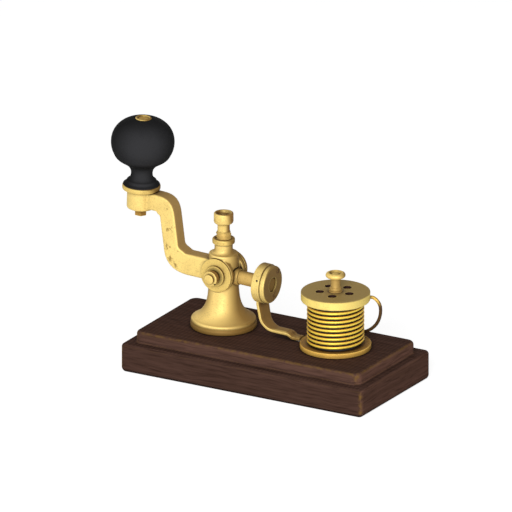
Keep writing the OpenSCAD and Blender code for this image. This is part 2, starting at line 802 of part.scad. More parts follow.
// The collar is hollowed to follow the barrel, and eases down to the rod
module rod_collar() {
    color(brass) difference() {
        on_rod() turned(concat(
            [[rod_r + fit, arm_root_x], [rod_r + 0.8, arm_root_x]],
            oval(rod_r + 0.2, collar_x, 0.6, collar_end - collar_x, 0, 90, 6),
            [[rod_r + fit, collar_end]]
        ));
        at_lever() cylinder(r = barrel_r + collar_gap, h = 3 * rod_r + 6, center = true);
    }
}

disc_outline_points = concat(
    [[rod_r + fit, disc_x]],
    arc(disc_r - 0.6, disc_x + 0.6, 0.6, -90, 0, 4),
    arc(disc_r - 0.4, disc_x + 0.62 * disc_t - 0.4, 0.4, 0, 80, 3),
    [[disc_face_r, disc_x + 0.64 * disc_t], [disc_face_r, disc_x + 0.67 * disc_t],
        [disc_r - 0.45, disc_x + 0.7 * disc_t], [disc_r - 0.5, disc_end - 1.1]],
    arc(disc_r - 1.4, disc_end - 1, 0.9, 0, 80, 4),
    [[disc_recess_r + 3.2, disc_end - 0.25], [disc_recess_r, disc_end - 0.25],
        [disc_recess_r, rod_end - 0.1], [rod_r + fit, rod_end - 0.1]]
);

set_screw_x = disc_x + 0.42 * disc_t;
set_screw_turn = 66;
set_screw_out = disc_r - 1;
mortise_top = 6.1;

module balance_disc() {
    color(brass) on_rod() difference() {
        turned(disc_outline_points);
        translate([0, 0, set_screw_x]) rotate([0, 0, set_screw_turn]) rotate([0, -90, 0])
            rod(set_screw_d / 2 + fit, 0, disc_r + 1);
        // Slot in the rim for the strap's tang
        translate([mortise_top, -strap_w / 2 - fit, strap_x0 - fit])
            cube([disc_r, strap_w + 2 * fit, strap_t + 2 * fit]);
        // Nick in the face's rim
        translate([-4.9, 8.2, disc_end - 0.6]) rotate([0, 0, 30])
            cylinder(r = 1.1, h = 3);
    }
}

module disc_set_screw() {
    color(steel) on_rod() translate([0, 0, set_screw_x]) rotate([0, 0, set_screw_turn])
        rotate([0, -90, 0]) difference() {
            rod(set_screw_d / 2, rod_r + 0.1, set_screw_out);
            translate([-0.2, -set_screw_d, set_screw_out - 0.5]) cube([0.4, 2 * set_screw_d, 1]);
        }
}

// Contact strap: tang in the disc, leaning leg, bend, level foot, joggle and tip

strap_x0 = disc_x + 0.8;
tang_top = -rod_drop - mortise_top - 0.05;
disc_foot = -rod_drop - disc_r;
contact_reach = contact_x - pillar_x;
tip_z = (contact_head_h + fit - pivot_h + contact_reach * sin(rest_tilt)) / cos(rest_tilt);
foot_z = tip_z + joggle_h;
bend_z = foot_z + strap_bend_r * (1 - sin(strap_lean));
leg_len = (disc_foot - bend_z) / cos(strap_lean);
bend_x = strap_x0 + leg_len * sin(strap_lean);
foot_x = bend_x + strap_bend_r * cos(strap_lean);
joggle_l = 4;
joggle_x = contact_reach - 1.7 - joggle_l;

// Underside of the tip, which lies level when the lever is at rest
function tip_line(x) = tip_z + (x - contact_reach) * tan(rest_tilt);
joggle_end = tip_line(joggle_x + joggle_l);

// Each station: underside (x, z), heading below the level in degrees, and width
strap_stations = concat(
    [[[strap_x0, tang_top], 90, strap_w], [[strap_x0, disc_foot], 90, strap_w],
        [[bend_x, bend_z] + 0.6 * leg_len * [-sin(strap_lean), cos(strap_lean)],
            90 - strap_lean, strap_w * 0.99]],
    [for (i = [0 : 9]) let (h = (90 - strap_lean) * (1 - i / 9))
        [[foot_x, foot_z + strap_bend_r] - strap_bend_r * [sin(h), cos(h)], h,
            strap_w + (strap_foot_w - strap_w) * (0.1 + 0.9 * i / 9)]],
    [for (i = [0 : 5]) let (t = i / 5)
        [[joggle_x + joggle_l * t, foot_z + (joggle_end - foot_z) * (1 - cos(180 * t)) / 2],
            atan((foot_z - joggle_end) / joggle_l * PI / 2 * sin(180 * t)) - rest_tilt * t,
            strap_foot_w + (strap_tip_w - strap_foot_w) * t / 2]],
    [[[strap_end_x, tip_line(strap_end_x)], -rest_tilt, strap_tip_w]]
);

strap_bevel = 0.45;

function strap_section(w) = [
    [-w / 2, 0.15], [-w / 2 + 0.15, 0], [w / 2 - 0.15, 0], [w / 2, 0.15],
    [w / 2, strap_t - strap_bevel], [w / 2 - 3 * strap_bevel, strap_t],
    [-w / 2 + 3 * strap_bevel, strap_t], [-w / 2, strap_t - strap_bevel]
];

strap_points = [
    for (s = strap_stations) for (p = strap_section(s[2]))
        [s[0][0] + p[1] * sin(s[1]), p[0], s[0][1] + p[1] * cos(s[1])]
];

module contact_strap() {
    color(brass) at_lever()
        polyhedron(points = strap_points, faces = skin_faces(len(strap_stations), 8));
}

// Coil

wire_r = wire_d / 2;
coil_r = bobbin_r + 0.15 + wire_r;
core_r = bobbin_r - bobbin_wall - fit;
winding_start = 120;
winding_low = coil_foot_h + 0.06 + wire_r;
winding_end = winding_start + 360 * turns;
winding_high = winding_low + wire_pitch * turns;
cap_z = winding_high + wire_r + 0.65;
cap_top = cap_z + cap_t;
core_bolt_up = 12;
terminal_thread_r = 1.9;
terminal_depth = 9;
loop_rings = 24;

module coil_foot() {
    color(old_brass) at_coil() turned(concat(
        [[coil_bolt_d / 2 + fit, 0], [coil_foot_r - 0.3, 0], [coil_foot_r, 0.3]],
        arc(coil_foot_r - 0.5, coil_foot_h - 0.2, 0.5, 0, 120, 5),
        [[coil_foot_r - 1.2, coil_foot_h], [coil_bolt_d / 2 + fit, coil_foot_h]]
    ));
}

module coil_core() {
    color(iron) at_coil() difference() {
        ring(0, core_r, coil_foot_h, cap_z, 0.2, 0.2);
        rod(coil_bolt_d / 2 + fit, 0, coil_foot_h + core_bolt_up + 1);
        rod(terminal_thread_r + run, cap_z - terminal_depth - 1, cap_z + 1);
        cap_screw_places() rod(cap_thread_r + fit, cap_z - cap_screw_depth - 1, cap_z + 1);
    }
}

// The bobbin's upper rim is notched where the wire's end goes in
wire_in_z = winding_high;
wire_in_bend = 1.25;

module bobbin() {
    color(ebonite) at_coil() difference() {
        ring(core_r + fit, bobbin_r, coil_foot_h, cap_z, 0.2, 0.2);
        rotate([0, 0, winding_end]) translate([0, -wire_r - 0.4, wire_in_z - wire_r - 0.4])
            cube([bobbin_r + 1, wire_d + 3.4, cap_z]);
    }
}

// The wire's lower end runs out straight from the helix; its upper end turns in through the notch
function on_helix(a, z) = [coil_r * cos(a), coil_r * sin(a), z];
function across(a) = [-sin(a), cos(a), 0];
function outward(a) = [cos(a), sin(a), 0];

wire_in_centre = on_helix(winding_end, winding_high) - wire_in_bend * outward(winding_end);
winding_path = concat(
    [on_helix(winding_start, winding_low) - wire_d * across(winding_start)],
    [for (i = [0 : turns * loop_rings]) let (t = i / (turns * loop_rings))
        on_helix(winding_start + 360 * turns * t, winding_low + wire_pitch * turns * t)],
    [for (b = [22.5 : 22.5 : 90])
        wire_in_centre + wire_in_bend * (cos(b) * outward(winding_end) + sin(b) * across(winding_end))],
    [wire_in_centre + wire_in_bend * across(winding_end)
        - (coil_r - wire_in_bend - core_r - 0.1) * outward(winding_end)]
);

// Least distance between the wire's own turns, less its thickness, on points half a turn apart or more
winding_gap = min([
    for (i = [0 : 2 : len(winding_path) - 1])
        for (j = [i + loop_rings / 2 : 1 : min(len(winding_path) - 1, i + 1.6 * loop_rings)])
            norm(winding_path[i] - winding_path[j])
]) - wire_d;
echo(winding_gap = winding_gap);

module winding() {
    color(copper) at_coil() tube(winding_path, wire_d, [0, 0, 1], 6);
}

// The lead from the winding's lower end, out beside the coil and up into the cap's rim; its bow
// is given in shares of the cap's radius and of the cap's height
lead_in_turn = 30;
lead_in_z = cap_z + 0.3 * cap_t;
lead_in_depth = 4;
lead_start = on_helix(winding_start, winding_low) - wire_d * across(winding_start);
lead_bow = [
    [-0.063, 0.863, 0.138], [0.211, 0.905, 0.156], [0.458, 0.837, 0.199], [0.642, 0.768, 0.268],
    [0.816, 0.705, 0.351], [1.011, 0.653, 0.489], [1.126, 0.626, 0.67], [1.147, 0.611, 0.847],
    [1.089, 0.584, 0.963]
];
lead_knots = concat(
    [lead_start, lead_start - wire_d * across(winding_start)],
    [for (b = lead_bow) [b[0] * cap_r, b[1] * cap_r, b[2] * cap_z]],
    [(cap_r + wire_d) * outward(lead_in_turn) + [0, 0, lead_in_z - 0.2],
        cap_r * outward(lead_in_turn) + [0, 0, lead_in_z],
        (cap_r - lead_in_depth) * outward(lead_in_turn) + [0, 0, lead_in_z]]
);

// A smooth curve through the knots, four steps from each to the next
function knot(k, i) = k[max(0, min(len(k) - 1, i))];
function smooth(k) = concat(
    [for (i = [0 : len(k) - 2], t = [0 : 0.25 : 0.75])
        let (a = knot(k, i - 1), b = knot(k, i), c = knot(k, i + 1), d = knot(k, i + 2))
        0.5 * (2 * b + (c - a) * t + (2 * a - 5 * b + 4 * c - d) * t * t
            + (3 * b - a - 3 * c + d) * t * t * t)],
    [k[len(k) - 1]]
);

module lead_wire() {
    color(copper) at_coil() tube(smooth(lead_knots), wire_d, [-0.6, 0.8, 0], 8);
}

// Cap, with screws sunk in counterbores and a radial hole for the lead
cap_thread_r = 1.3;
cap_screw_depth = 6;
cap_bore_depth = 2.5;
cap_screw_h = 1.3;

module cap_screw_places() {
    for (i = [0 : cap_screws - 1]) rotate([0, 0, 360 * i / cap_screws])
        translate([cap_screw_pcd, 0, 0]) children();
}

module coil_cap() {
    color(brass) at_coil() difference() {
        ring(terminal_thread_r + run, cap_r, cap_z, cap_top, 0.8, 0.5);
        cap_screw_places() {
            rod(cap_bore_d / 2, cap_top - cap_bore_depth, cap_top + 1);
            rod(cap_thread_r + fit, cap_z - 1, cap_top);
        }
        rotate([0, 0, lead_in_turn]) translate([0, 0, lead_in_z]) rotate([0, 90, 0])
            rod(wire_r + run, cap_r - lead_in_depth - 0.3, cap_r + 1);
    }
}

module cap_screw_set() {
    color(old_brass) at_coil() cap_screw_places() difference() {
        union() {
            ring(0, cap_bore_d / 2 - 0.15, cap_top - cap_bore_depth, cap_top - cap_bore_depth + cap_screw_h,
                0.05, 0.35);
            rod(cap_thread_r, cap_z - cap_screw_depth, cap_top - cap_bore_depth + 0.1);
        }
        translate([-3, -0.3, cap_top - cap_bore_depth + cap_screw_h - 0.6]) cube([6, 0.6, 1]);
    }
}

module coil_bolt() {
    color(steel) translate([coil_x, 0, 0])
        under_bolt(coil_bolt_d, base_h + coil_foot_h + core_bolt_up, recess_d - strip_t);
}

module coil_washer() {
    color(steel) translate([coil_x, 0, 0]) under_washer(coil_bolt_d, recess_d - strip_t);
}

// Terminal

terminal_washer_t = 0.6;
terminal_washer_r = terminal_d / 2 + 1.3;
collar_top = terminal_washer_t + 1.1;
head_z = terminal_h - 4.4;
terminal_recess_r = terminal_r - 2.3;

module terminal_washer() {
    color(old_brass) at_coil()
        ring(terminal_thread_r + run, terminal_washer_r, cap_top, cap_top + terminal_washer_t, 0.1, 0.15);
}

module terminal_screw() {
    color(brass) at_coil() translate([0, 0, cap_top]) turned(concat(
        [[0, -cap_t - terminal_depth], [terminal_thread_r - 0.3, -cap_t - terminal_depth],
            [terminal_thread_r, -cap_t - terminal_depth + 0.3], [terminal_thread_r, terminal_washer_t]],
        arc(terminal_d / 2 + 0.45, terminal_washer_t + 0.3, 0.3, -90, 0, 2),
        arc(terminal_d / 2 + 0.45, collar_top - 0.3, 0.3, 0, 90, 2),
        [[terminal_d / 2, collar_top], [terminal_d / 2, head_z]],
        arc(terminal_r - 1.6, head_z + 1.9, 1.6, -75, 0, 5),
        arc(terminal_r - 1.7, terminal_h - 1.7, 1.7, 0, 75, 5),
        [[terminal_recess_r, terminal_h - 0.1], [terminal_recess_r - 0.2, terminal_h - 1.3],
            [terminal_d / 2 - 0.5, terminal_h - 1.3], [terminal_d / 2 - 0.7, terminal_h - 0.9],
            [0, terminal_h - 0.9]]
    ));
}

plinth();
top_board();
board_screws();
rest_contact();
contact_nut();
link_strip();
pillar();
pillar_bolt();
pillar_washer();
bearing_plate(1);  // front_bearing_plate
bearing_plate(-1);  // rear_bearing_plate
plunger();
tension_spring();
spring_seat();
tension_screw();
lock_ring();
lever_arm();
pivot_axle();
axle_spacers();
axle_collar(1);  // front_axle_collar
axle_collar(-1);  // rear_axle_collar
axle_nut(1);  // front_axle_nut
axle_nut(-1);  // rear_axle_nut
knob_ferrule();
knob();
knob_ring();
knob_bolt();
knob_nut();
balance_rod();
rod_collar();
balance_disc();
disc_set_screw();
contact_strap();
coil_foot();
coil_core();
bobbin();
winding();
lead_wire();
coil_cap();
cap_screw_set();
terminal_washer();
terminal_screw();
coil_bolt();
coil_washer();
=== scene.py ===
import json
import math

import bpy
from mathutils import Matrix, Vector

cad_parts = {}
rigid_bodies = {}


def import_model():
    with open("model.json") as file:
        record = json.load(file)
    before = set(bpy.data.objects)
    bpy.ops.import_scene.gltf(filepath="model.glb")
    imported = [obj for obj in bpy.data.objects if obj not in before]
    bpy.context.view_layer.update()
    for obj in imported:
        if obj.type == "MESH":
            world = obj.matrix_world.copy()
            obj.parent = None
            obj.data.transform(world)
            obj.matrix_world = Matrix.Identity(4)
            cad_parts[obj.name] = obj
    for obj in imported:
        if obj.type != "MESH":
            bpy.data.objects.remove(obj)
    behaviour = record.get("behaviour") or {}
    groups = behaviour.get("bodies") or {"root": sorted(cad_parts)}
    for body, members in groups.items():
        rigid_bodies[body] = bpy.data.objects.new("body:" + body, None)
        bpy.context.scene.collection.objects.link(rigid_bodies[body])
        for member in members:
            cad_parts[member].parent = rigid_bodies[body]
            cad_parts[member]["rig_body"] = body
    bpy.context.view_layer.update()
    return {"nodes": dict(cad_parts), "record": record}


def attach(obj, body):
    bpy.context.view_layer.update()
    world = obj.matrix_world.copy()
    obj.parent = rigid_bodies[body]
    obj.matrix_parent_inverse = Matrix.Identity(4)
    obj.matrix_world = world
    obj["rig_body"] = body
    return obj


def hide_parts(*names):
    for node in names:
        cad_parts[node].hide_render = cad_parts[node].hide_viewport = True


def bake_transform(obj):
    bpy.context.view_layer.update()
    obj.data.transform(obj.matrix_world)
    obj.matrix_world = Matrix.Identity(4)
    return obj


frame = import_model()

MM = 0.001
PILLAR_TOP_Z = 70.9
PILLAR_TOP = Vector((-32.5, 0, PILLAR_TOP_Z)) * MM
PIVOT = Vector((-32.5, 0, 54.5)) * MM
COIL_FOOT = Vector((38, 0, 23)) * MM
UNDER_COIL = Vector((38, 0, 0)) * MM
REST_TILT = math.radians(1.9)
KNOB_X = 53.1
KNOB_PLACE = PIVOT + KNOB_X * MM * Vector((-math.cos(REST_TILT), 0, math.sin(REST_TILT)))
SLOT = {part["node"]: part["material_slot"] for part in frame["record"]["subparts"]}


# Helpers for objects

def only(piece):
    """Leaves one object selected and active."""
    bpy.ops.object.select_all(action="DESELECT")
    piece.select_set(True)
    bpy.context.view_layer.objects.active = piece


def apply_modifiers(piece):
    only(piece)
    for modifier in list(piece.modifiers):
        bpy.ops.object.modifier_apply(modifier=modifier.name)


def join(pieces):
    only(pieces[0])
    for piece in pieces[1:]:
        piece.select_set(True)
    bpy.ops.object.join()
    return pieces[0]


def set_in_place(piece, place, tilt=0.0):
    """Moves a piece that was modelled about the origin to its place and applies the move."""
    only(piece)
    piece.rotation_euler = (0, tilt, 0)
    piece.location = place
    bpy.ops.object.transform_apply(location=True, rotation=True, scale=True)


def dress(piece, material, angle=40):
    """Smooth shading up to an angle in degrees, and the finish."""
    only(piece)
    bpy.ops.object.shade_smooth_by_angle(angle=math.radians(angle))
    piece.data.materials.clear()
    piece.data.materials.append(material)


def finish_piece(piece, material, *nodes, angle=40):
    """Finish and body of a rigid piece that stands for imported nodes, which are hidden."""
    dress(piece, material, angle)
    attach(piece, frame["nodes"][nodes[0]]["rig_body"])
    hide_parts(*nodes)


# Helpers for shaders

def linear(hex_code):
    """An sRGB hex colour as the linear RGBA that shaders take."""
    parts = [int(hex_code[i:i + 2], 16) / 255 for i in (1, 3, 5)]
    return [p / 12.92 if p <= 0.04045 else ((p + 0.055) / 1.055) ** 2.4 for p in parts] + [1.0]


def add(tree, kind, inputs=None, **settings):
    """Adds a node with its settings; inputs gives sockets a value or another node's output."""
    made = tree.nodes.new(kind)
    for name, value in settings.items():
        setattr(made, name, value)
    for socket, value in (inputs or {}).items():
        if isinstance(value, bpy.types.NodeSocket):
            tree.links.new(value, made.inputs[socket])
        else:
            made.inputs[socket].default_value = value
    return made


def new_material(name):
    """A material with an empty tree and its output."""
    material = bpy.data.materials.new(name)
    material.use_nodes = True
    material.node_tree.nodes.clear()
    return material, material.node_tree, add(material.node_tree, "ShaderNodeOutputMaterial")


def seen_itself(tree):
    """1 for rays by which something is seen, in a mirror or through glass too, 0 for those
    that light other things."""
    ray = add(tree, "ShaderNodeLightPath").outputs
    seen = add(tree, "ShaderNodeMath", {0: ray["Is Camera Ray"], 1: ray["Is Glossy Ray"]},
               operation="MAXIMUM").outputs[0]
    return add(tree, "ShaderNodeMath", {0: seen, 1: ray["Is Transmission Ray"]},
               operation="MAXIMUM").outputs[0]


# Materials

def brass(name, clean, tarnish_and_shade_colour, rough, lean=(0.7, 0.6, 0.5), turn=(0.0, 0.55), keeps=0.95, also=None,
          metallic=0.25, reach=4, full=0.35, corner_shade_colour="#38220F", pits=False, stains=(), mark="#6B4E26",
          low=None):
    """Brass long out of its lacquer: satin, with fine grain and cloudy tarnish, painted shade on
    faces that look along a way and in the corners, and bright worn edges that also carry a
    painted highlight.

    Painted shade in the colour tarnish_and_shade_colour, which the tarnish takes too, grows with
    how much a face looks along lean, over the range turn and up to the share keeps, and on faces
    that look along also. Painted corner shade of the colour corner_shade_colour comes reach
    millimetres out of a corner and is full where the corner is open by no more than full. Stains
    of the colour mark are pairs of middle and radius. low is a height under which the colour
    turns to a painted shade, its fade and its colour there."""
    material, tree, out = new_material(name)
    spot = add(tree, "ShaderNodeTexCoord").outputs
    place = spot["Object"]
    # Cloudy tarnish, about 12 mm across, and the grain of a cast or turned face, 0.7 mm
    clouds = add(tree, "ShaderNodeTexNoise", {
        "Vector": place, "Scale": 85.0, "Detail": 4.0, "Roughness": 0.6}).outputs["Fac"]
    grit = add(tree, "ShaderNodeTexNoise", {
        "Vector": place, "Scale": 1400.0, "Detail": 2.0, "Roughness": 0.7}).outputs["Fac"]
    tarnish = add(tree, "ShaderNodeMapRange", {
        "Value": clouds, "From Min": 0.42, "From Max": 0.75, "To Max": 0.35}).outputs["Result"]
    speckle = add(tree, "ShaderNodeMapRange", {
        "Value": grit, "From Min": 0.5, "From Max": 0.75, "To Max": 0.36}).outputs["Result"]
    # Painted shade darkens the faces that look along lean, and those that look along also
    side = add(tree, "ShaderNodeVectorMath", {0: spot["Normal"], 1: lean},
               operation="DOT_PRODUCT").outputs["Value"]
    painted_side_shade = add(tree, "ShaderNodeMapRange", {
        "Value": side, "From Min": turn[0], "From Max": turn[1], "To Max": keeps}).outputs["Result"]
    even = add(tree, "ShaderNodeMath", {0: tarnish, 1: speckle}, operation="ADD").outputs[0]
    tarnish_and_painted_shade = add(tree, "ShaderNodeMath", {0: even, 1: painted_side_shade}, operation="MAXIMUM").outputs[0]
    if also:
        flank = add(tree, "ShaderNodeVectorMath", {0: spot["Normal"], 1: also},
                    operation="DOT_PRODUCT").outputs["Value"]
        painted_flank_shade = add(tree, "ShaderNodeMapRange", {
            "Value": flank, "From Min": 0.6, "From Max": 1.0, "To Max": 0.75}).outputs["Result"]
        tarnish_and_painted_shade = add(tree, "ShaderNodeMath", {0: tarnish_and_painted_shade, 1: painted_flank_shade}, operation="MAXIMUM").outputs[0]
    colour = add(tree, "ShaderNodeMix", {
        "Factor": tarnish_and_painted_shade, "A": linear(clean), "B": linear(tarnish_and_shade_colour)}, data_type="RGBA").outputs["Result"]
    # Edges that stand out are worn bright, which also paints a highlight on rims: there a rounded normal
    # leaves the face's own
    corner = add(tree, "ShaderNodeAmbientOcclusion", {"Distance": reach * MM}, samples=8).outputs["AO"]
    rounded = add(tree, "ShaderNodeBevel", {"Radius": 0.7 * MM}, samples=4).outputs["Normal"]
    flat = add(tree, "ShaderNodeNewGeometry").outputs["Normal"]
    match = add(tree, "ShaderNodeVectorMath", {0: rounded, 1: flat},
                operation="DOT_PRODUCT").outputs["Value"]
    edge = add(tree, "ShaderNodeMapRange", {
        "Value": match, "From Min": 0.8, "From Max": 0.97, "To Min": 0.6, "To Max": 0.0}).outputs["Result"]
    open_air = add(tree, "ShaderNodeMapRange", {
        "Value": corner, "From Min": 0.75, "From Max": 0.95}).outputs["Result"]
    rub = add(tree, "ShaderNodeMath", {0: edge, 1: open_air}, operation="MULTIPLY").outputs[0]
    colour = add(tree, "ShaderNodeMix", {
        "Factor": rub, "A": colour, "B": linear("#FFE98C")}, data_type="RGBA").outputs["Result"]
    # Painted shade darkens corners, hollows and the gaps between parts
    painted_corner_shade = add(tree, "ShaderNodeMapRange", {
        "Value": corner, "From Min": full, "From Max": 0.93, "To Min": 1.0, "To Max": 0.0}).outputs["Result"]
    colour = add(tree, "ShaderNodeMix", {
        "Factor": painted_corner_shade, "A": colour, "B": linear(corner_shade_colour)}, data_type="RGBA").outputs["Result"]
    # Single stains, whose edge a pattern of 1.3 mm makes ragged
    if stains:
        uneven = add(tree, "ShaderNodeTexNoise", {
            "Vector": place, "Scale": 750.0, "Detail": 3.0}).outputs["Fac"]
    for middle, radius in stains:
        away = add(tree, "ShaderNodeVectorMath", {0: place, 1: [m * MM for m in middle]},
                   operation="DISTANCE").outputs["Value"]
        ragged = add(tree, "ShaderNodeMath", {0: uneven, 1: radius * 5 * MM, 2: away},
                     operation="MULTIPLY_ADD").outputs[0]
        spread = add(tree, "ShaderNodeMapRange", {
            "Value": ragged, "From Min": radius * 2.4 * MM, "From Max": radius * 3.3 * MM,
            "To Min": 0.75, "To Max": 0.0}).outputs["Result"]
        colour = add(tree, "ShaderNodeMix", {
            "Factor": spread, "A": colour, "B": linear(mark)}, data_type="RGBA").outputs["Result"]
    # Casting pits, 0.4 mm across and some 3 mm apart, brown inside
    if pits:
        cell = add(tree, "ShaderNodeTexVoronoi", {"Vector": place, "Scale": 330.0}).outputs
        chance = add(tree, "ShaderNodeSeparateColor", {"Color": cell["Color"]}).outputs["Red"]
        width = add(tree, "ShaderNodeMapRange", {
            "Value": chance, "From Min": 0.7, "From Max": 1.0, "To Max": 0.13}).outputs["Result"]
        within = add(tree, "ShaderNodeMath", {0: width, 1: cell["Distance"]},
                     operation="SUBTRACT").outputs[0]
        depth = add(tree, "ShaderNodeMapRange", {
            "Value": within, "From Max": 0.04, "To Max": 0.8}).outputs["Result"]
        colour = add(tree, "ShaderNodeMix", {
            "Factor": depth, "A": colour, "B": linear("#7A5420")}, data_type="RGBA").outputs["Result"]
    # Painted shade towards a part's foot, under the height low
    if low:
        height, fade, low_shade_colour = low
        level = add(tree, "ShaderNodeSeparateXYZ", {"Vector": place}).outputs["Z"]
        painted_low_shade = add(tree, "ShaderNodeMapRange", {
            "Value": level, "From Min": (height - fade) * MM, "From Max": height * MM,
            "To Min": 0.92, "To Max": 0.0}).outputs["Result"]
        colour = add(tree, "ShaderNodeMix", {
            "Factor": painted_low_shade, "A": colour, "B": linear(low_shade_colour)}, data_type="RGBA").outputs["Result"]
    sheen = add(tree, "ShaderNodeMapRange", {"Value": tarnish_and_painted_shade, "To Min": rough, "To Max": rough + 0.15})
    bump = add(tree, "ShaderNodeBump", {"Strength": 0.35, "Distance": 0.08 * MM, "Height": grit})
    surface = add(tree, "ShaderNodeBsdfPrincipled", {
        "Base Color": colour, "Metallic": metallic, "Roughness": sheen.outputs["Result"],
        "Specular IOR Level": 0.1, "Normal": bump.outputs["Normal"]})
    tree.links.new(surface.outputs["BSDF"], out.inputs["Surface"])
    return material


def walnut(name, side, rim):
    """Oiled dark walnut, planed: long fibres and short pores, nearly no gloss, edges worn lighter,
    with painted light and shade by face and painted shade in the corners.

    side is the painted light of the upright faces, and rim the share of rubbing that level edges get."""
    material, tree, out = new_material(name)
    spot = add(tree, "ShaderNodeTexCoord").outputs
    place = spot["Object"]
    # Fibres about 1 mm apart, in bands of 2 mm, run along each face: along the ends' length too
    sway = add(tree, "ShaderNodeTexNoise", {"Vector": place, "Scale": 22.0, "Detail": 2.0}).outputs["Color"]
    waved = add(tree, "ShaderNodeVectorMath", {0: sway, 1: (0.003, 0.003, 0.005), 2: place},
                operation="MULTIPLY_ADD").outputs["Vector"]
    lengthwise = add(tree, "ShaderNodeMapping", {"Vector": waved, "Scale": (0.05, 1.0, 1.0)})
    crosswise = add(tree, "ShaderNodeMapping", {"Vector": waved, "Scale": (1.0, 0.05, 1.0)})
    turned_to = add(tree, "ShaderNodeVectorMath", {0: spot["Normal"]}, operation="ABSOLUTE")
    axes = add(tree, "ShaderNodeSeparateXYZ", {"Vector": turned_to.outputs["Vector"]}).outputs
    is_end = add(tree, "ShaderNodeMath", {0: axes["X"], 1: 0.6}, operation="GREATER_THAN").outputs[0]
    course = add(tree, "ShaderNodeMix", {
        "Factor": is_end, "A": lengthwise.outputs["Vector"], "B": crosswise.outputs["Vector"]},
        data_type="VECTOR").outputs["Result"]
    fibre = add(tree, "ShaderNodeTexNoise", {
        "Vector": course, "Scale": 1000.0, "Detail": 3.0, "Roughness": 0.6}).outputs["Fac"]
    band = add(tree, "ShaderNodeTexNoise", {"Vector": course, "Scale": 480.0, "Detail": 3.0}).outputs["Fac"]
    grain = add(tree, "ShaderNodeMath", {0: fibre, 1: band}, operation="ADD").outputs[0]
    ground = add(tree, "ShaderNodeMapRange", {
        "Value": grain, "From Min": 0.66, "From Max": 1.3}).outputs["Result"]
    fibres = add(tree, "ShaderNodeMix", {
        "Factor": ground, "A": linear("#64483C"), "B": linear("#7E5C50")}, data_type="RGBA")
    # Painted light and shade by face: the ends are painted lighter than the sides and the top darkest,
    # with a plane's fine marks across the top, 2.4 mm apart, drawn stronger than they are so that they show
    painted_face_light = add(tree, "ShaderNodeMix", {
        "Factor": is_end, "A": (side, side, side, 1), "B": (side * 1.6, side * 1.55, side * 1.5, 1)},
        data_type="RGBA")
    plane_marks = add(tree, "ShaderNodeTexWave", {
        "Vector": waved, "Scale": 131.0, "Distortion": 2.5, "Detail": 1.0}, bands_direction="X")
    plane_marks_in_top_shade = add(tree, "ShaderNodeMapRange", {
        "Value": plane_marks.outputs["Fac"], "To Min": 0.38, "To Max": 0.5})
    upward = add(tree, "ShaderNodeSeparateXYZ", {"Vector": spot["Normal"]}).outputs["Z"]
    is_top = add(tree, "ShaderNodeMapRange", {"Value": upward, "From Min": 0.7, "From Max": 0.95})
    shade = add(tree, "ShaderNodeMix", {
        "Factor": is_top.outputs["Result"], "A": painted_face_light.outputs["Result"],
        "B": plane_marks_in_top_shade.outputs["Result"]}, data_type="RGBA")
    wood = add(tree, "ShaderNodeMix", {
        "Factor": 1.0, "A": fibres.outputs["Result"], "B": shade.outputs["Result"]},
        data_type="RGBA", blend_type="MULTIPLY").outputs["Result"]
    # Pores: dark dashes 0.6 mm wide, drawn a little coarse so that they show
    pore = add(tree, "ShaderNodeTexNoise", {"Vector": course, "Scale": 1500.0, "Detail": 1.0}).outputs["Fac"]
    pit = add(tree, "ShaderNodeMapRange", {
        "Value": pore, "From Min": 0.3, "From Max": 0.5, "To Min": 0.45, "To Max": 0.0}).outputs["Result"]
    wood = add(tree, "ShaderNodeMix", {
        "Factor": pit, "A": wood, "B": linear("#22140F")}, data_type="RGBA").outputs["Result"]
    # Rubbed edges: on a board only its worked edges look along none of the three axes. Hands
    # rub the upright ones most, in patches 2.4 mm across
    broad = add(tree, "ShaderNodeMath", {0: axes["X"], 1: axes["Y"]}, operation="MAXIMUM").outputs[0]
    squarely = add(tree, "ShaderNodeMath", {0: broad, 1: axes["Z"]}, operation="MAXIMUM").outputs[0]
    edge = add(tree, "ShaderNodeMapRange", {
        "Value": squarely, "From Min": 0.8, "From Max": 0.97, "To Min": 0.85, "To Max": 0.0})
    handled = add(tree, "ShaderNodeMapRange", {
        "Value": axes["Z"], "From Min": 0.1, "From Max": 0.6, "To Min": 1.0, "To Max": rim})
    corner = add(tree, "ShaderNodeAmbientOcclusion", {"Distance": 3.5 * MM}, samples=8).outputs["AO"]
    open_air = add(tree, "ShaderNodeMapRange", {"Value": corner, "From Min": 0.8, "From Max": 0.97})
    patchy = add(tree, "ShaderNodeTexNoise", {"Vector": place, "Scale": 420.0, "Detail": 3.0})
    patches = add(tree, "ShaderNodeMapRange", {
        "Value": patchy.outputs["Fac"], "From Min": 0.35, "From Max": 0.6})
    rub = edge.outputs["Result"]
    for share in (handled, open_air, patches):
        rub = add(tree, "ShaderNodeMath", {0: rub, 1: share.outputs["Result"]},
                  operation="MULTIPLY").outputs[0]
    wood = add(tree, "ShaderNodeMix", {
        "Factor": rub, "A": wood, "B": linear("#7A5C2C")}, data_type="RGBA").outputs["Result"]
    # Painted shade darkens corners and the ledge's groove nearly to black
    painted_corner_shade = add(tree, "ShaderNodeMapRange", {
        "Value": corner, "From Min": 0.4, "From Max": 0.85, "To Min": 0.85, "To Max": 0.0}).outputs["Result"]
    wood = add(tree, "ShaderNodeMix", {
        "Factor": painted_corner_shade, "A": wood, "B": linear("#120D0C")}, data_type="RGBA").outputs["Result"]
    bump = add(tree, "ShaderNodeBump", {"Strength": 0.3, "Distance": 0.1 * MM, "Height": fibre})
    surface = add(tree, "ShaderNodeBsdfPrincipled", {
        "Base Color": wood, "Roughness": 0.8, "Specular IOR Level": 0.02,
        "Normal": bump.outputs["Normal"]})
    tree.links.new(surface.outputs["BSDF"], out.inputs["Surface"])
    return material


